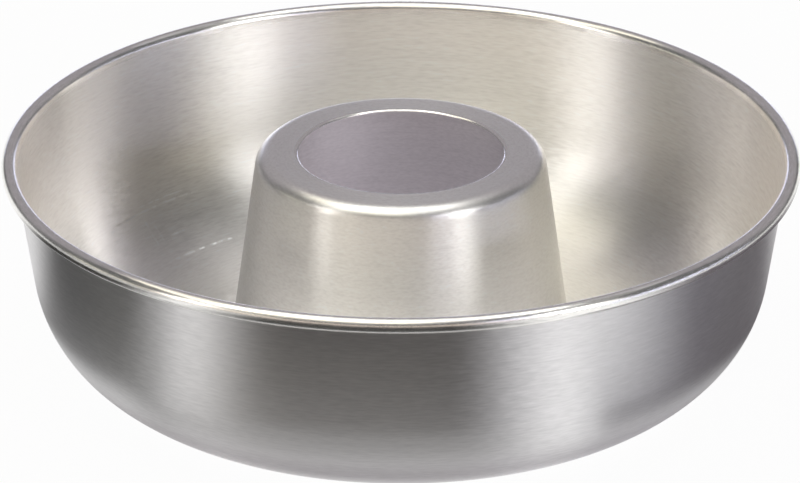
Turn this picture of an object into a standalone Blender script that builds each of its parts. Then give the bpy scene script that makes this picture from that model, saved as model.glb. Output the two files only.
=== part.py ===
"""A savarin mould: one aluminium sheet drawn into a ring trough round a pierced cone, its rim curled over a wire.

Metres, +Z up. The origin is the centre of the base, on the table.
"""

import math

import bpy

# Rim and wall
RIM_DIAMETER = 0.240  # over the bead
MOULD_HEIGHT = 0.0702  # table to the top of the bead
WALL_DRAFT = math.radians(8.0)  # of the wall, from the vertical
CORNER_RADIUS = 0.038  # outside, from the wall into the base

# Cone
CONE_DROP = 0.0006  # from the top of the bead down to the land on the cone
CONE_DRAFT = math.radians(8.0)  # of the cone's side, from the vertical
LAND_DIAMETER = 0.0784  # flat ring on top of the cone, out to where its edge starts to round
SHOULDER_RADIUS = 0.0048  # outside, from the land into the cone's side
HOLE_DIAMETER = 0.062  # pierced through the land
FOOT_RADIUS = 0.006  # in the trough, from the cone's side into the base

# Sheet and rim wire
SHEET = 0.0008
WIRE_DIAMETER = 0.0024
WIRE_CLEARANCE = 0.0003  # round the wire, inside the curl
WIRE_JOINT = 0.0005  # between the wire's two butted ends
CURL_SLIT = 0.0004  # between the curl's free edge and the wall

# Facets
TURN_STEPS = 72  # round the axis
SHOULDER_STEPS = 5
FOOT_STEPS = 5
CORNER_STEPS = 11
CURL_STEPS = 12
WIRE_SIDES_RESOLUTION = 3  # ten sides

# Places that several pieces share
LAND_HEIGHT = MOULD_HEIGHT - CONE_DROP  # table to the top of the land
CURL_RADIUS = WIRE_DIAMETER / 2 + WIRE_CLEARANCE + SHEET  # of the bead's outer skin
CURL_CENTRE = (RIM_DIAMETER / 2 - CURL_RADIUS, MOULD_HEIGHT - CURL_RADIUS)


def clear_scene():
    for thing in list(bpy.data.objects):
        bpy.data.objects.remove(thing, do_unlink=True)


def metal(name, color, roughness):
    material = bpy.data.materials.new(name)
    material.use_nodes = True
    shader = material.node_tree.nodes["Principled BSDF"]
    shader.inputs["Base Color"].default_value = (*color, 1.0)
    shader.inputs["Metallic"].default_value = 1.0
    shader.inputs["Roughness"].default_value = roughness
    material.diffuse_color = (*color, 1.0)
    return material


def arc(centre, radius, start, end, steps):
    """Points (r, z) about a centre, from one angle to another."""
    angles = [start + (end - start) * i / steps for i in range(steps + 1)]
    return [
        (centre[0] + radius * math.cos(angle), centre[1] + radius * math.sin(angle))
        for angle in angles
    ]


def shoulder_and_foot():
    """The cone: its rounded top edge and the fillet at its foot, which its straight side touches."""
    shoulder = SHOULDER_RADIUS - SHEET / 2
    foot = FOOT_RADIUS + SHEET / 2
    shoulder_centre = (LAND_DIAMETER / 2, LAND_HEIGHT - SHOULDER_RADIUS)
    foot_z = SHEET + FOOT_RADIUS
    rise = shoulder_centre[1] - foot_z
    side = shoulder + foot + rise * math.sin(CONE_DRAFT)
    foot_centre = (shoulder_centre[0] + side / math.cos(CONE_DRAFT), foot_z)
    return arc(
        shoulder_centre, shoulder, math.pi / 2, CONE_DRAFT, SHOULDER_STEPS
    ) + arc(foot_centre, foot, math.pi + CONE_DRAFT, math.pi * 3 / 2, FOOT_STEPS)


def corner_and_curl():
    """The outer wall: the round corner at the base and the curl at the rim, which its straight side touches."""
    corner = CORNER_RADIUS - SHEET / 2
    curl = CURL_RADIUS - SHEET / 2
    rise = CURL_CENTRE[1] - CORNER_RADIUS
    side = corner + curl + rise * math.sin(WALL_DRAFT)
    corner_centre = (CURL_CENTRE[0] - side / math.cos(WALL_DRAFT), CORNER_RADIUS)
    # The curl closes until its free edge is a slit's width from the wall's outer face.
    unclosed = math.acos((CURL_RADIUS - SHEET - CURL_SLIT) / CURL_RADIUS)
    start = math.pi - WALL_DRAFT
    end = start - (2 * math.pi - unclosed)
    return arc(
        corner_centre, corner, -math.pi / 2, -WALL_DRAFT, CORNER_STEPS
    ) + arc(CURL_CENTRE, curl, start, end, CURL_STEPS)


def mould_body():
    """The whole sheet, turned from its middle line: hole, land, cone, base, wall and curl."""
    hole_edge = (HOLE_DIAMETER / 2, LAND_HEIGHT - SHEET / 2)
    line = [hole_edge] + shoulder_and_foot() + corner_and_curl()
    mesh = bpy.data.meshes.new("mould_body")
    mesh.from_pydata(
        [(r, 0.0, z) for r, z in line],
        [(i, i + 1) for i in range(len(line) - 1)],
        [],
    )
    body = bpy.data.objects.new("mould_body", mesh)

    turn = body.modifiers.new("Turn", "SCREW")
    turn.axis = "Z"
    turn.angle = 2 * math.pi
    turn.steps = turn.render_steps = TURN_STEPS
    turn.use_smooth_shade = True

    sheet = body.modifiers.new("Sheet", "SOLIDIFY")
    sheet.thickness = SHEET
    sheet.offset = 0.0
    sheet.use_even_offset = True

    # Flat faces keep their own shading up to the sheared edges.
    body.modifiers.new("Shading", "WEIGHTED_NORMAL")
    return body


def rim_wire():
    """The stiffening wire that the rim is curled over: one ring of straight wire, its ends butted at the back."""
    radius = CURL_CENTRE[0]
    half_joint = WIRE_JOINT / 2 / radius
    step = 2 * math.pi / TURN_STEPS
    angles = [half_joint] + [i * step for i in range(1, TURN_STEPS)]
    angles += [2 * math.pi - half_joint]

    curve = bpy.data.curves.new("rim_wire", "CURVE")
    curve.dimensions = "3D"
    curve.bevel_depth = WIRE_DIAMETER / 2
    curve.bevel_resolution = WIRE_SIDES_RESOLUTION
    curve.use_fill_caps = True
    ring = curve.splines.new("POLY")
    ring.points.add(len(angles) - 1)
    for point, angle in zip(ring.points, angles):
        point.co = (radius * math.cos(angle), radius * math.sin(angle), 0.0, 1.0)

    wire = bpy.data.objects.new("rim_wire", curve)
    wire.location = (0.0, 0.0, CURL_CENTRE[1])
    wire.rotation_euler = (0.0, 0.0, math.pi / 2)
    return wire


def build():
    clear_scene()
    collection = bpy.data.collections.new("savarin_mould")
    bpy.context.scene.collection.children.link(collection)

    base = bpy.data.objects.new("savarin_mould", None)
    base.empty_display_size = RIM_DIAMETER / 4
    collection.objects.link(base)

    pieces = (
        (mould_body(), metal("satin_aluminium", (0.78, 0.77, 0.76), 0.34)),
        (rim_wire(), metal("steel_wire", (0.56, 0.56, 0.57), 0.42)),
    )
    for piece, material in pieces:
        piece.data.materials.append(material)
        piece.parent = base
        collection.objects.link(piece)


build()
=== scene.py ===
import math

import bpy
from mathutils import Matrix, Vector


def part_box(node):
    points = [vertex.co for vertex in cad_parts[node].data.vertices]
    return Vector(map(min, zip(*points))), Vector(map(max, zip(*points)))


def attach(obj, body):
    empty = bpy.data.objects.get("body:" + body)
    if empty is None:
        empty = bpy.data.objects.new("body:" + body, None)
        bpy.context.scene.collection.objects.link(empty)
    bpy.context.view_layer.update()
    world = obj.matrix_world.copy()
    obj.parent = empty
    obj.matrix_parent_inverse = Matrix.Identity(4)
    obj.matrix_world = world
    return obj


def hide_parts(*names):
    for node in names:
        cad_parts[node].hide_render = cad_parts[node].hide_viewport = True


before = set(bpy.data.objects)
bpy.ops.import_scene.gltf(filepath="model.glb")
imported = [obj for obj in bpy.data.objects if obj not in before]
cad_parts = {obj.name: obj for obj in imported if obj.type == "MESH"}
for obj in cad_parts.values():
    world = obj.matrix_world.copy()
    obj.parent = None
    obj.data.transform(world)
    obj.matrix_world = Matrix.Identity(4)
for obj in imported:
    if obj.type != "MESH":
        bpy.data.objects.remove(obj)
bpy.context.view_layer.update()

mm = 0.001
scene = bpy.context.scene


# Small helpers

def addObject(name, data):
    thing = bpy.data.objects.new(name, data)
    scene.collection.objects.link(thing)
    return thing


def link(tree, source, target):
    tree.links.new(source, target)


def addNode(tree, kind, **settings):
    node = tree.nodes.new(kind)
    for key, value in settings.items():
        setattr(node, key, value)
    return node


def calculate(tree, operation, first, second=None, third=None):
    node = addNode(tree, "ShaderNodeMath", operation=operation)
    for socket, value in zip(node.inputs, (first, second, third)):
        if value is None:
            continue
        if isinstance(value, (int, float)):
            socket.default_value = value
        else:
            link(tree, value, socket)
    return node.outputs[0]


def rangeOf(tree, value, low, high, newLow, newHigh):
    node = addNode(tree, "ShaderNodeMapRange")
    for key, number in (("From Min", low), ("From Max", high), ("To Min", newLow), ("To Max", newHigh)):
        node.inputs[key].default_value = number
    link(tree, value, node.inputs["Value"])
    return node.outputs[0]


# Camera, at the photograph's viewing angle

cameraView = {
    "place": (-0.0003, -1.35714, 0.66674),
    "tilt": 65.193,  # degrees up from straight down
    "lens": 221.7,
    "sensor": 36.0,
    "nearest": 0.01,  # what is closer to the camera is not drawn
}


def makeCamera():
    data = bpy.data.cameras.new("camera")
    data.lens = cameraView["lens"]
    data.sensor_width = cameraView["sensor"]
    data.clip_start = cameraView["nearest"]
    camera = addObject("camera", data)
    camera.location = cameraView["place"]
    camera.rotation_euler = (math.radians(cameraView["tilt"]), 0, 0)
    scene.camera = camera


makeCamera()
print("camera set")


# The turned sheet: its section as one line down the middle, then both skins and the sheared edges

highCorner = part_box("mould_body")[1]

sheet = {
    "thickness": 0.8 * mm,
    "rimRadius": 120.0 * mm,  # over the bead
    "height": highCorner.z,
    "wallDraft": math.radians(8),
    "cornerRadius": 38 * mm,
    "landDrop": 0.6 * mm,  # from the top of the bead down to the land
    "coneDraft": math.radians(8),
    "landRadius": 39.2 * mm,
    "shoulderRadius": 4.8 * mm,
    "footRadius": 6 * mm,
    "holeRadius": 31 * mm,
    "beadRadius": 2.3 * mm,
    "curlSlit": 0.4 * mm,
    "edgeRounding": 0.28 * mm,  # of the sheared edges
    "edgeRoll": 1.0 * mm,  # how much of the land the punch drew down at the hole
    "edgeDrop": 0.48 * mm,
    "edgeMargin": 0.1 * mm,  # from the end of the roll to the land's first point
    "edgeSteps": (8, 4),  # along the roll, and round the other corner
    "pressedDepth": 3.0 * mm,  # how far below the land the pressed skin reaches
    "shoulderSteps": 18,
    "footSteps": 12,
    "cornerSteps": 30,
    "beadSteps": 48,
    "landSteps": 8,  # these four are on the straight stretches
    "coneSteps": 24,
    "baseSteps": 5,
    "wallSteps": 20,
    "beadPolish": 0.8,  # and of the hole's edge
    "turnSteps": 256,
    "turnRadius": 80 * mm,  # of the circle that the section is carried round
    "waveHeight": 0.012 * mm,  # the faint waves that spinning leaves
    "waveScale": 60.0,
    "waveDetail": 1.0,
    "waveSeed": 4.0,
    "waveFade": 2 * mm,  # above the table and below the full height
}


def alongArc(centre, radius, start, end, steps, polish=0):
    # Points of the middle line, each with the normal of the cooking side and how polished the metal is
    side = 1 if end < start else -1
    points = []
    for i in range(steps + 1):
        angle = start + (end - start) * (i / steps)
        direction = Vector((math.cos(angle), math.sin(angle)))
        points.append((Vector(centre) + direction * radius, direction * side, polish))
    return points


def alongLine(first, second, steps):
    # Points strictly between two others, polished like the first
    start, normal, polish = first
    shares = [i / steps for i in range(1, steps)]
    return [(start.lerp(second[0], t), normal, polish) for t in shares]


def middleLine():
    half = sheet["thickness"] / 2
    landHeight = sheet["height"] - sheet["landDrop"]
    shoulder = sheet["shoulderRadius"] - half
    foot = sheet["footRadius"] + half
    shoulderCentre = (sheet["landRadius"], landHeight - sheet["shoulderRadius"])
    footHeight = sheet["thickness"] + sheet["footRadius"]
    rise = shoulderCentre[1] - footHeight
    run = (shoulder + foot + rise * math.sin(sheet["coneDraft"])) / math.cos(sheet["coneDraft"])
    footCentre = (shoulderCentre[0] + run, footHeight)

    bead = sheet["beadRadius"] - half
    beadCentre = (sheet["rimRadius"] - sheet["beadRadius"], sheet["height"] - sheet["beadRadius"])
    corner = sheet["cornerRadius"] - half
    rise = beadCentre[1] - sheet["cornerRadius"]
    run = (corner + bead + rise * math.sin(sheet["wallDraft"])) / math.cos(sheet["wallDraft"])
    cornerCentre = (beadCentre[0] - run, sheet["cornerRadius"])

    quarter = math.pi / 2
    shoulderArc = alongArc(shoulderCentre, shoulder, quarter, sheet["coneDraft"], sheet["shoulderSteps"])
    footArc = alongArc(footCentre, foot, math.pi + sheet["coneDraft"], 3 * quarter, sheet["footSteps"])
    cornerArc = alongArc(cornerCentre, corner, -quarter, -sheet["wallDraft"], sheet["cornerSteps"])
    innerReach = sheet["beadRadius"] - sheet["thickness"] - sheet["curlSlit"]
    unclosed = math.acos(innerReach / sheet["beadRadius"])
    start = math.pi - sheet["wallDraft"]
    end = start - 2 * math.pi + unclosed
    beadArc = alongArc(beadCentre, bead, start, end, sheet["beadSteps"], sheet["beadPolish"])

    # The second point keeps the land's shading flat up to where the punch drew it down
    line = [
        (Vector((sheet["holeRadius"] + away, landHeight - half)), Vector((0, 1)), 0)
        for away in (0, sheet["edgeRoll"] + sheet["edgeMargin"])
    ]
    for nextArc, steps in (
        (shoulderArc, sheet["landSteps"]),
        (footArc, sheet["coneSteps"]),
        (cornerArc, sheet["baseSteps"]),
        (beadArc, sheet["wallSteps"]),
    ):
        line += alongLine(line[-1], nextArc[0], steps) + nextArc
    return line


def shearedEdge(point, outwards, roll, drop):
    # From the cooking side to the other. The first corner falls by drop over roll, the second is rounded
    place, normal, polish = point
    rounding = sheet["edgeRounding"]
    half = sheet["thickness"] / 2
    rollSteps, roundSteps = sheet["edgeSteps"]
    points = []
    for i in range(rollSteps + 1):
        share = 1 - i / rollSteps
        points.append(place + normal * (half - drop * (1 - share) ** 2) - outwards * roll * share)
    for i in range(roundSteps + 1):
        turn = math.pi / 2 * i / roundSteps
        fall = half - rounding * (1 - math.sin(turn))
        points.append(place - normal * fall - outwards * rounding * (1 - math.cos(turn)))
    return points


def sectionLoop():
    # Once round the sheet: the cooking side out to the curl's free edge, and back along the other side.
    # Each point has its place, 1 on the other side, its polish, and 1 where the sheet is pressed
    half = sheet["thickness"] / 2
    line = middleLine()
    pressedHeight = sheet["height"] - sheet["landDrop"] - sheet["pressedDepth"]
    topReach = sheet["landRadius"] + sheet["shoulderRadius"]
    rounding = sheet["edgeRounding"]
    freeNormal = line[-1][1]
    freeEdge = shearedEdge(line[-1], Vector((freeNormal.y, -freeNormal.x)), rounding, rounding)
    holeNormal = line[0][1]
    inwards = Vector((-holeNormal.y, holeNormal.x))
    holeEdge = shearedEdge(line[0], inwards, sheet["edgeRoll"], sheet["edgeDrop"])
    loop = []
    for place, normal, polish in line[1:-1]:
        onTop = place.x < topReach and place.y > pressedHeight
        loop.append((place + normal * half, 0, polish, 1 if onTop else 0))
    loop += [(place, 0.5, 1, 0) for place in freeEdge]
    for place, normal, polish in line[-2:0:-1]:
        underCone = place.x < topReach + sheet["footRadius"]
        loop.append((place - normal * half, 1, -1 if underCone else polish, 1 if underCone else 0))
    loop += [(place, 0, sheet["beadPolish"], 1) for place in holeEdge[::-1]]
    return loop


def turningTree():
    # A closed section is carried round a circle; the section's x is measured from that circle
    tree = bpy.data.node_groups.new("turnSheet", "GeometryNodeTree")
    tree.is_modifier = True
    face = tree.interface
    face.new_socket("Geometry", in_out="INPUT", socket_type="NodeSocketGeometry")
    face.new_socket("Geometry", in_out="OUTPUT", socket_type="NodeSocketGeometry")
    for name, kind in (
        ("Turn Steps", "NodeSocketInt"),
        ("Turn Radius", "NodeSocketFloat"),
        ("Wave Height", "NodeSocketFloat"),
        ("Wave Scale", "NodeSocketFloat"),
        ("Wave Seed", "NodeSocketFloat"),
        ("Metal", "NodeSocketMaterial"),
        ("Pressed Metal", "NodeSocketMaterial"),
    ):
        face.new_socket(name, in_out="INPUT", socket_type=kind)
    given = addNode(tree, "NodeGroupInput").outputs
    done = addNode(tree, "NodeGroupOutput")

    section = addNode(tree, "GeometryNodeMeshToCurve")
    link(tree, given["Geometry"], section.inputs["Mesh"])
    circle = addNode(tree, "GeometryNodeCurvePrimitiveCircle")
    link(tree, given["Turn Steps"], circle.inputs["Resolution"])
    link(tree, given["Turn Radius"], circle.inputs["Radius"])
    upright = addNode(tree, "GeometryNodeSetCurveNormal", mode="Z_UP")
    link(tree, circle.outputs["Curve"], upright.inputs["Curve"])
    turn = addNode(tree, "GeometryNodeCurveToMesh")
    link(tree, upright.outputs["Curve"], turn.inputs["Curve"])
    link(tree, section.outputs["Curve"], turn.inputs["Profile Curve"])

    noise = addNode(tree, "ShaderNodeTexNoise", noise_dimensions="4D")
    noise.inputs["Detail"].default_value = sheet["waveDetail"]
    link(tree, given["Wave Scale"], noise.inputs["Scale"])
    link(tree, given["Wave Seed"], noise.inputs["W"])
    place = addNode(tree, "GeometryNodeInputPosition")
    link(tree, place.outputs[0], noise.inputs["Vector"])
    centred = calculate(tree, "SUBTRACT", noise.outputs[0], 0.5)
    # No waves where the sheet touches the table or reaches its full height
    split = addNode(tree, "ShaderNodeSeparateXYZ")
    link(tree, place.outputs[0], split.inputs[0])
    fade = sheet["waveFade"]
    low = rangeOf(tree, split.outputs["Z"], 0, fade, 0, 1)
    high = rangeOf(tree, split.outputs["Z"], sheet["height"] - fade, sheet["height"], 1, 0)
    height = calculate(tree, "MULTIPLY", centred, given["Wave Height"])
    height = calculate(tree, "MULTIPLY", height, calculate(tree, "MULTIPLY", low, high))
    normal = addNode(tree, "GeometryNodeInputNormal")
    lift = addNode(tree, "ShaderNodeVectorMath", operation="SCALE")
    link(tree, normal.outputs[0], lift.inputs[0])
    link(tree, height, lift.inputs["Scale"])
    waves = addNode(tree, "GeometryNodeSetPosition")
    link(tree, turn.outputs["Mesh"], waves.inputs["Geometry"])
    link(tree, lift.outputs[0], waves.inputs["Offset"])

    smooth = addNode(tree, "GeometryNodeSetShadeSmooth")
    link(tree, waves.outputs["Geometry"], smooth.inputs["Geometry"])
    real = addNode(tree, "GeometryNodeRealizeInstances")
    link(tree, smooth.outputs["Geometry"], real.inputs["Geometry"])
    metal = addNode(tree, "GeometryNodeSetMaterial")
    link(tree, real.outputs["Geometry"], metal.inputs["Geometry"])
    link(tree, given["Metal"], metal.inputs["Material"])
    pressed = addNode(tree, "GeometryNodeInputNamedAttribute", data_type="FLOAT")
    pressed.inputs["Name"].default_value = "pressed"
    top = addNode(tree, "GeometryNodeSetMaterial")
    link(tree, metal.outputs["Geometry"], top.inputs["Geometry"])
    onTop = calculate(tree, "GREATER_THAN", pressed.outputs["Attribute"], 0.5)
    link(tree, onTop, top.inputs["Selection"])
    link(tree, given["Pressed Metal"], top.inputs["Material"])
    link(tree, top.outputs["Geometry"], done.inputs["Geometry"])
    return tree


def runTree(name, source, tree, values):
    # The tree's result as a plain mesh
    modifier = source.modifiers.new(tree.name, "NODES")
    modifier.node_group = tree
    sockets = {item.name: item.identifier for item in tree.interface.items_tree if item.in_out == "INPUT"}
    for key, value in values.items():
        modifier[sockets[key]] = value
    evaluated = source.evaluated_get(bpy.context.evaluated_depsgraph_get())
    mesh = bpy.data.meshes.new_from_object(evaluated)
    mesh.name = name
    source.modifiers.remove(modifier)
    bpy.data.objects.remove(source)
    return addObject(name, mesh)


def turnedSheet(metal, pressedMetal):
    turnRadius = sheet["turnRadius"]
    loop = sectionLoop()
    count = len(loop)
    mesh = bpy.data.meshes.new("section")
    mesh.from_pydata(
        [(point[0].x - turnRadius, -point[0].y, 0) for point in loop],
        [(i, (i + 1) % count) for i in range(count)],
        [],
    )
    travelled = [0.0]
    for first, second in zip(loop, loop[1:]):
        travelled.append(travelled[-1] + (second[0] - first[0]).length)
    for name, values in (
        ("outside", [point[1] for point in loop]),
        ("polish", [point[2] for point in loop]),
        ("pressed", [point[3] for point in loop]),
        ("travel", travelled),  # metres along the section
    ):
        mesh.attributes.new(name, "FLOAT", "POINT").data.foreach_set("value", values)
    source = addObject("section", mesh)
    return runTree("turnedSheet", source, turningTree(), {
        "Turn Steps": sheet["turnSteps"],
        "Turn Radius": turnRadius,
        "Wave Height": sheet["waveHeight"],
        "Wave Scale": sheet["waveScale"],
        "Wave Seed": sheet["waveSeed"],
        "Metal": metal,
        "Pressed Metal": pressedMetal,
    })


# Metals

aluminium = {
    # Painted light and shade: the same metal is given a lighter, warmer colour on the cooking side and a
    # darker, greyer one on the outer side
    "inside": (0.965, 0.95, 0.92),
    "outside": (0.77, 0.76, 0.76),
    "roughness": 0.31,
    "polishedRoughness": 0.15,
    "anisotropy": 1.0,
    "anisotropyTurn": 0.25,  # of a whole turn, from the tangent round the axis
    "pressedRoughness": 0.33,
    "pressedAnisotropy": 0.5,
    "fineLine": (0.16 * mm, 30 * mm),  # brushing lines: across, and along at the rim
    "coarseLine": (1.3 * mm, 60 * mm),
    "dash": (0.6 * mm, 4 * mm),
    "lineDetail": 1,
    "fineSlope": 0.15,  # slope across the lines
    "lean": 0.05,  # slope along the lines, which frays the ends of the highlights
    "coarseTone": 0.08,
    "dashTone": 0.25,
    "dashRoughness": 0.04,
    "noiseShifts": (0.0, 5.0, 9.0, 3.0),  # of the fine lines, the coarse ones, the dashes and the breaks
    "rimRadius": 115 * mm,  # where the lines have the lengths above
    "scratchRoughness": 0.1,
    "scratchTone": 0.16,
    "scratchLean": 0.2,
    "breakLength": 3 * mm,  # of the breaks in a scratch
    "breakNoise": (0.45, 0.55),  # below the first a scratch is faint, above the second it shows in full
    "breakShare": 0.2,  # how much of it is left in a break
    "breakDetail": 2,
}

# Azimuth and half length in degrees, height and half width in metres. The fourth and fifth stand upright
scratchRows = (
    (-132, 12, 19 * mm, 0.45 * mm),
    (-133, 7, 20.5 * mm, 0.3 * mm),
    (-137, 10, 6 * mm, 0.4 * mm),
    (-128.6, 0.3, 13.5 * mm, 5 * mm),
    (-130.2, 0.25, 12.5 * mm, 4 * mm),
    (-134, 2, 10.8 * mm, 0.35 * mm),
)


def newMetal(name, color, roughness):
    material = bpy.data.materials.new(name)
    material.use_nodes = True
    shader = material.node_tree.nodes["Principled BSDF"]
    shader.inputs["Base Color"].default_value = (*color, 1)
    shader.inputs["Metallic"].default_value = 1
    shader.inputs["Roughness"].default_value = roughness
    return material, shader


def attribute(tree, name):
    return addNode(tree, "ShaderNodeAttribute", attribute_name=name).outputs["Fac"]


def roundTheAxis(tree):
    # The unit direction from the axis, in the table's plane
    place = addNode(tree, "ShaderNodeTexCoord").outputs["Object"]
    flat = addNode(tree, "ShaderNodeVectorMath", operation="MULTIPLY")
    link(tree, place, flat.inputs[0])
    flat.inputs[1].default_value = (1, 1, 0)
    unit = addNode(tree, "ShaderNodeVectorMath", operation="NORMALIZE")
    link(tree, flat.outputs[0], unit.inputs[0])
    return unit.outputs[0]


def aroundTheAxis(tree):
    turned = addNode(tree, "ShaderNodeVectorMath", operation="CROSS_PRODUCT")
    turned.inputs[0].default_value = (0, 0, 1)
    link(tree, roundTheAxis(tree), turned.inputs[1])
    return turned.outputs[0]


def heightOf(tree):
    place = addNode(tree, "ShaderNodeTexCoord").outputs["Object"]
    split = addNode(tree, "ShaderNodeSeparateXYZ")
    link(tree, place, split.inputs[0])
    return split.outputs["Z"]


def turnedLines(tree, level, across, along, detail, shift=0.0):
    # Noise drawn out round the axis. Level tells the lines apart, across and along are their sizes
    split = addNode(tree, "ShaderNodeSeparateXYZ")
    link(tree, roundTheAxis(tree), split.inputs[0])
    turns = aluminium["rimRadius"] / along
    join = addNode(tree, "ShaderNodeCombineXYZ")
    link(tree, calculate(tree, "MULTIPLY_ADD", split.outputs["X"], turns, shift), join.inputs["X"])
    link(tree, calculate(tree, "MULTIPLY", split.outputs["Y"], turns), join.inputs["Y"])
    link(tree, calculate(tree, "DIVIDE", level, across), join.inputs["Z"])
    noise = addNode(tree, "ShaderNodeTexNoise")
    noise.inputs["Scale"].default_value = 1
    noise.inputs["Detail"].default_value = detail
    link(tree, join.outputs[0], noise.inputs["Vector"])
    return noise.outputs[0]


def centred(tree, noise):
    return calculate(tree, "SUBTRACT", noise, 0.5)


def within(tree, value, middle, half):
    # 1 at the middle, falling to 0 at half to either side
    away = calculate(tree, "ABSOLUTE", calculate(tree, "SUBTRACT", value, middle))
    near = calculate(tree, "SUBTRACT", 1, calculate(tree, "DIVIDE", away, half))
    return calculate(tree, "MAXIMUM", near, 0)


def scratches(tree):
    # Faint rubs on the cooking side
    split = addNode(tree, "ShaderNodeSeparateXYZ")
    link(tree, roundTheAxis(tree), split.inputs[0])
    backwards = calculate(tree, "MULTIPLY", split.outputs["Y"], -1)
    azimuth = calculate(tree, "DEGREES", calculate(tree, "ARCTAN2", split.outputs["X"], backwards))
    height = heightOf(tree)
    depth = None
    for middle, halfLength, level, halfWidth in scratchRows:
        across = within(tree, height, level, halfWidth)
        along = calculate(tree, "SQRT", within(tree, azimuth, middle, halfLength))
        rub = calculate(tree, "MULTIPLY", across, along)
        depth = rub if depth is None else calculate(tree, "MAXIMUM", depth, rub)
    length = aluminium["breakLength"]
    shift = aluminium["noiseShifts"][3]
    broken = turnedLines(tree, height, length, length, aluminium["breakDetail"], shift)
    faint = rangeOf(tree, broken, *aluminium["breakNoise"], aluminium["breakShare"], 1)
    depth = calculate(tree, "MULTIPLY", depth, faint)
    return calculate(tree, "MULTIPLY", depth, calculate(tree, "SUBTRACT", 1, attribute(tree, "outside")))


def mixColor(tree, share, first, second):
    node = addNode(tree, "ShaderNodeMix", data_type="RGBA")
    link(tree, share, node.inputs["Factor"])
    for socket, value in ((node.inputs[6], first), (node.inputs[7], second)):
        if isinstance(value, tuple):
            socket.default_value = (*value, 1)
        else:
            link(tree, value, socket)
    return node.outputs[2]


def turnedAluminium(name, roughness, anisotropy):
    material, shader = newMetal(name, aluminium["inside"], roughness)
    tree = material.node_tree
    shader.inputs["Anisotropic"].default_value = anisotropy
    shader.inputs["Anisotropic Rotation"].default_value = aluminium["anisotropyTurn"]
    tangent = addNode(tree, "ShaderNodeTangent", direction_type="RADIAL", axis="Z")
    link(tree, tangent.outputs[0], shader.inputs["Tangent"])

    travel = attribute(tree, "travel")
    fine, coarse, dash = (
        centred(tree, turnedLines(tree, travel, *aluminium[size], aluminium["lineDetail"], shift))
        for size, shift in zip(("fineLine", "coarseLine", "dash"), aluminium["noiseShifts"])
    )
    scratch = scratches(tree)

    # Painted light and shade: the cooking side takes the lighter, warmer colour and the outer side the
    # darker, greyer one
    metal = mixColor(tree, attribute(tree, "outside"), aluminium["inside"], aluminium["outside"])
    tone = calculate(tree, "MULTIPLY_ADD", coarse, aluminium["coarseTone"], 1)
    tone = calculate(tree, "MULTIPLY_ADD", dash, aluminium["dashTone"], tone)
    tone = calculate(tree, "MULTIPLY_ADD", scratch, aluminium["scratchTone"], tone)
    toned = addNode(tree, "ShaderNodeVectorMath", operation="SCALE")
    link(tree, metal, toned.inputs[0])
    link(tree, tone, toned.inputs["Scale"])
    link(tree, toned.outputs[0], shader.inputs["Base Color"])

    dull = calculate(tree, "MULTIPLY_ADD", dash, aluminium["dashRoughness"], roughness)
    dull = calculate(tree, "MULTIPLY_ADD", scratch, aluminium["scratchRoughness"], dull)
    change = aluminium["polishedRoughness"] - aluminium["roughness"]
    dull = calculate(tree, "MULTIPLY_ADD", attribute(tree, "polish"), change, dull)
    link(tree, dull, shader.inputs["Roughness"])

    # The normal leans across the lines by the brushing, and along them by the dashes and the scratches
    normal = addNode(tree, "ShaderNodeNewGeometry").outputs["Normal"]
    along = aroundTheAxis(tree)
    across = addNode(tree, "ShaderNodeVectorMath", operation="CROSS_PRODUCT")
    link(tree, along, across.inputs[0])
    link(tree, normal, across.inputs[1])
    for direction, height, slope in (
        (across.outputs[0], fine, aluminium["fineSlope"]),
        (along, dash, aluminium["lean"]),
        (along, scratch, aluminium["scratchLean"]),
    ):
        lean = addNode(tree, "ShaderNodeVectorMath", operation="SCALE")
        link(tree, direction, lean.inputs[0])
        link(tree, calculate(tree, "MULTIPLY", height, slope), lean.inputs["Scale"])
        leant = addNode(tree, "ShaderNodeVectorMath", operation="ADD")
        link(tree, normal, leant.inputs[0])
        link(tree, lean.outputs[0], leant.inputs[1])
        normal = leant.outputs[0]
    unit = addNode(tree, "ShaderNodeVectorMath", operation="NORMALIZE")
    link(tree, normal, unit.inputs[0])
    link(tree, unit.outputs[0], shader.inputs["Normal"])
    return material


steel = {
    "color": (0.56, 0.56, 0.57),
    "roughness": 0.42,
    "drawnLine": (0.2 * mm, 30 * mm),
    "lineDetail": 2,
    "tone": 0.3,
    "dulling": 0.12,
}


def steelWire():
    # Drawn wire: lines along it, darker and duller in their grooves
    material, shader = newMetal("steelWire", steel["color"], steel["roughness"])
    tree = material.node_tree
    drawn = turnedLines(tree, heightOf(tree), *steel["drawnLine"], steel["lineDetail"])
    line = centred(tree, drawn)
    toned = addNode(tree, "ShaderNodeVectorMath", operation="SCALE")
    toned.inputs[0].default_value = steel["color"]
    link(tree, calculate(tree, "MULTIPLY_ADD", line, steel["tone"], 1), toned.inputs["Scale"])
    link(tree, toned.outputs[0], shader.inputs["Base Color"])
    dull = calculate(tree, "MULTIPLY_ADD", line, -steel["dulling"], steel["roughness"])
    link(tree, dull, shader.inputs["Roughness"])
    return material


body = turnedSheet(
    turnedAluminium("brushedAluminium", aluminium["roughness"], aluminium["anisotropy"]),
    turnedAluminium("pressedAluminium", aluminium["pressedRoughness"], aluminium["pressedAnisotropy"]),
)
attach(body, "root")
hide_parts("mould_body")
print("sheet turned:", len(body.data.polygons), "faces")

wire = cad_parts["rim_wire"]
wire.data.materials.clear()
wire.data.materials.append(steelWire())
print("wire finished")


# Studio. Azimuths are in degrees from the camera's side towards the right, the soft edge is of both ends

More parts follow.
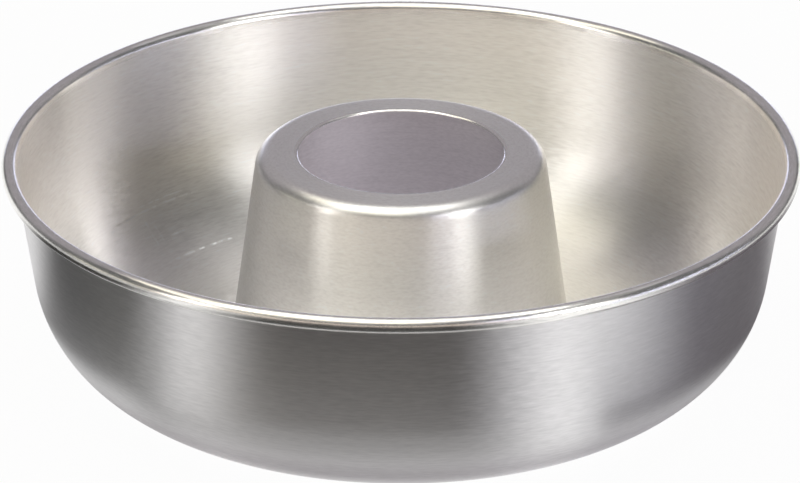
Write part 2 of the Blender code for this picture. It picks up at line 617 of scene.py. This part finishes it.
studio = {
    "floorSize": 6.0,
    "floorColor": (0.9, 0.9, 0.9),
    "floorRoughness": 0.9,
    "floorGlow": 0.96,  # share of the floor that is plain white to the camera and in the metal
    "floorDepth": 1 * mm,  # below the mould's base, so that the cards lie between them
    "worldStrength": 0.12,  # of the dim room that the metal sees
    "backdrop": 0.99,  # of the white that the camera sees
    "domeRadius": 2.95,
    "domeGap": 0.02,  # from one panel to the next, towards the mould
    "cardGap": 0.1 * mm,  # from one card to the next, downwards
    "gridStep": 4.0,  # between the columns of a patch, in degrees
    "panelEdge": 3.0,  # softness of a panel's lower and upper edge, in degrees
    "cardEdge": 10 * mm,  # and of a card's inner and outer edge
}

neutral = (1, 0.99, 0.97)
cream = (1, 0.95, 0.8)
amber = (1, 0.82, 0.7)
cool = (0.78, 0.79, 1)
violet = (1, 0.9, 1)

# Name, azimuth, half width, soft edge, lowest and highest elevation, light and its tint
panels = (
    ("top", 0, 180, 0, 76, 90, 0.8, neutral),
    ("topRing", 0, 180, 0, 65, 79, 1.9, neutral),
    ("topLeft", -64, 73, 30, 50, 68, 1.3, cream),
    ("topRight", 104, 57, 30, 50, 68, 0.22, neutral),
    ("right", 50, 9, 17, 12, 40, 3.2, neutral),
    ("rightFill", 38, 14, 16, 10, 35, 1.1, cool),
    ("rightLow", 72, 16, 12, 0, 12, 0.95, cool),
    ("rightSide", 79, 28, 16, 9, 14, 2.1, cool),
    ("left", -61, 6.5, 13, 10, 34, 2.2, neutral),
    ("leftFill", -50, 14, 16, 8, 40, 0.35, cream),
    ("leftHigh", -63, 8, 16, 40, 66, 1.2, neutral),
    ("leftSide", -87, 13, 16, 9, 16, 2.0, cream),
    ("front", -12, 60, 20, 6, 22, 0.7, amber),
    ("backLow", 180, 24, 16, 0, 9, 2.2, cool),
    ("backHigh", 180, 61, 20, 13, 61, 0.19, violet),
)

# Name, azimuth, half width, soft edge, nearest and farthest radius, tone and its tint
cards = (
    # Painted shade on the floor under the mould's hollow, with a brighter patch of painted light to its
    # right; only the metal sees these cards
    ("litPatchUnderHollow", 100, 30, 110, 0.0, 0.06, 0.95, violet),
    ("shadeUnderHollow", 0, 180, 0, 0.0, 0.06, 0.35, violet),
    # Painted shadow of the mould on the floor, in a ring round its foot, seen only in the metal
    ("near", 0, 180, 0, 0.09, 0.11, 0.26, violet),
    ("frontNear", -15, 38, 16, 0.11, 0.13, 0.03, amber),
    ("rightNear", 90, 51, 10, 0.11, 0.15, 0.12, violet),
    ("leftNear", -94, 44, 10, 0.12, 0.145, 0.03, neutral),
    ("front", -9, 32, 24, 0.13, 2.9, 0.06, neutral),
    ("right", 89, 30, 32, 0.14, 0.46, 0.12, violet),
    ("left", -81, 24, 22, 0.14, 0.5, 0.03, neutral),
)


def smoothStep(value):
    value = min(max(value, 0), 1)
    return value * value * (3 - 2 * value)


def studioPatch(row, levelEdge, place, opaque):
    # A soft-edged sector round the mould; place turns an azimuth and a level into a point
    name, azimuth, halfWidth, edge, low, high, light, tint = row
    reach = min(halfWidth + edge / 2, 180)
    columns = math.ceil(2 * reach / studio["gridStep"])
    levels = (low, low + levelEdge, (low + high) / 2, high - levelEdge, high)
    reachesZenith = high >= 90
    levelShares = (0, 1, 1, 1, 1 if reachesZenith else 0)
    points = []
    shares = []
    for level, levelShare in zip(levels, levelShares):
        for i in range(columns + 1):
            turn = -reach + 2 * reach * i / columns
            points.append(place(math.radians(azimuth + turn), level))
            edgeShare = 1 if halfWidth >= 180 else smoothStep((reach - abs(turn)) / edge)
            shares.append(levelShare * edgeShare)
    across = columns + 1
    corners = [j * across + i for j in range(len(levels) - 1) for i in range(columns)]
    faces = [(first, first + 1, first + across + 1, first + across) for first in corners]
    mesh = bpy.data.meshes.new(name)
    mesh.from_pydata(points, [], faces)
    glow = [light * channel * share for share in shares for channel in (*tint, 1)]
    mesh.attributes.new("glow", "FLOAT_COLOR", "POINT").data.foreach_set("color", glow)
    cover = [share if opaque else 0 for share in shares]
    mesh.attributes.new("cover", "FLOAT", "POINT").data.foreach_set("value", cover)
    patch = addObject(name, mesh)
    patch.visible_camera = False
    return patch


def glowMaterial():
    # Lets through what its cover leaves, and adds its glow
    material = bpy.data.materials.new("studioGlow")
    material.use_nodes = True
    tree = material.node_tree
    tree.nodes.remove(tree.nodes["Principled BSDF"])
    light = addNode(tree, "ShaderNodeEmission")
    glow = addNode(tree, "ShaderNodeAttribute", attribute_name="glow")
    link(tree, glow.outputs["Color"], light.inputs["Color"])
    clear = addNode(tree, "ShaderNodeBsdfTransparent")
    link(tree, calculate(tree, "SUBTRACT", 1, attribute(tree, "cover")), clear.inputs["Color"])
    both = addNode(tree, "ShaderNodeAddShader")
    link(tree, light.outputs[0], both.inputs[0])
    link(tree, clear.outputs[0], both.inputs[1])
    link(tree, both.outputs[0], tree.nodes["Material Output"].inputs["Surface"])
    return material


def makePanels(material):
    for i, row in enumerate(panels):
        radius = studio["domeRadius"] - studio["domeGap"] * i

        def place(turn, level):
            flat = radius * math.cos(math.radians(level))
            return (flat * math.sin(turn), -flat * math.cos(turn), radius * math.sin(math.radians(level)))

        patch = studioPatch(row, studio["panelEdge"], place, False)
        patch.name = "softbox" + row[0]
        patch.data.materials.append(material)


def makeCards(material):
    for i, row in enumerate(cards):
        height = -studio["cardGap"] * (i + 1)

        def place(turn, level):
            return (level * math.sin(turn), -level * math.cos(turn), height)

        patch = studioPatch(row, studio["cardEdge"], place, True)
        patch.name = "card" + row[0]
        patch.visible_diffuse = False
        patch.visible_shadow = False
        patch.data.materials.append(material)


def makeFloor():
    half = studio["floorSize"] / 2
    mesh = bpy.data.meshes.new("floor")
    corners = [(-half, -half, 0), (half, -half, 0), (half, half, 0), (-half, half, 0)]
    mesh.from_pydata(corners, [], [(0, 1, 2, 3)])
    floor = addObject("floor", mesh)
    material = bpy.data.materials.new("floorWhite")
    material.use_nodes = True
    tree = material.node_tree
    shader = tree.nodes["Principled BSDF"]
    shader.inputs["Base Color"].default_value = (*studio["floorColor"], 1)
    shader.inputs["Roughness"].default_value = studio["floorRoughness"]
    path = addNode(tree, "ShaderNodeLightPath")
    seen = calculate(tree, "ADD", path.outputs["Is Camera Ray"], path.outputs["Is Glossy Ray"])
    seen = calculate(tree, "ADD", seen, path.outputs["Is Transmission Ray"])
    glow = addNode(tree, "ShaderNodeEmission")
    glow.inputs["Strength"].default_value = 1.0
    mix = addNode(tree, "ShaderNodeMixShader")
    link(tree, calculate(tree, "MULTIPLY", seen, studio["floorGlow"]), mix.inputs[0])
    link(tree, shader.outputs[0], mix.inputs[1])
    link(tree, glow.outputs[0], mix.inputs[2])
    link(tree, mix.outputs[0], tree.nodes["Material Output"].inputs["Surface"])
    mesh.materials.append(material)
    floor.location.z = -studio["floorDepth"]


def makeWorld():
    world = bpy.data.worlds.new("studio")
    scene.world = world
    world.use_nodes = True
    tree = world.node_tree
    # The camera sees white past the floor's edge, and the metal sees the dim room between the lamps
    room = tree.nodes["Background"]
    white = addNode(tree, "ShaderNodeBackground")
    for background, strength in ((room, studio["worldStrength"]), (white, studio["backdrop"])):
        background.inputs["Color"].default_value = (1, 1, 1, 1)
        background.inputs["Strength"].default_value = strength
    path = addNode(tree, "ShaderNodeLightPath")
    mix = addNode(tree, "ShaderNodeMixShader")
    link(tree, path.outputs["Is Camera Ray"], mix.inputs[0])
    link(tree, room.outputs[0], mix.inputs[1])
    link(tree, white.outputs[0], mix.inputs[2])
    link(tree, mix.outputs[0], tree.nodes["World Output"].inputs["Surface"])


softGlow = glowMaterial()
makePanels(softGlow)
makeCards(softGlow)
makeFloor()
makeWorld()
scene.view_settings.view_transform = "Standard"
scene.cycles.glossy_bounces = 12
scene.cycles.blur_glossy = 0
print("studio lit")
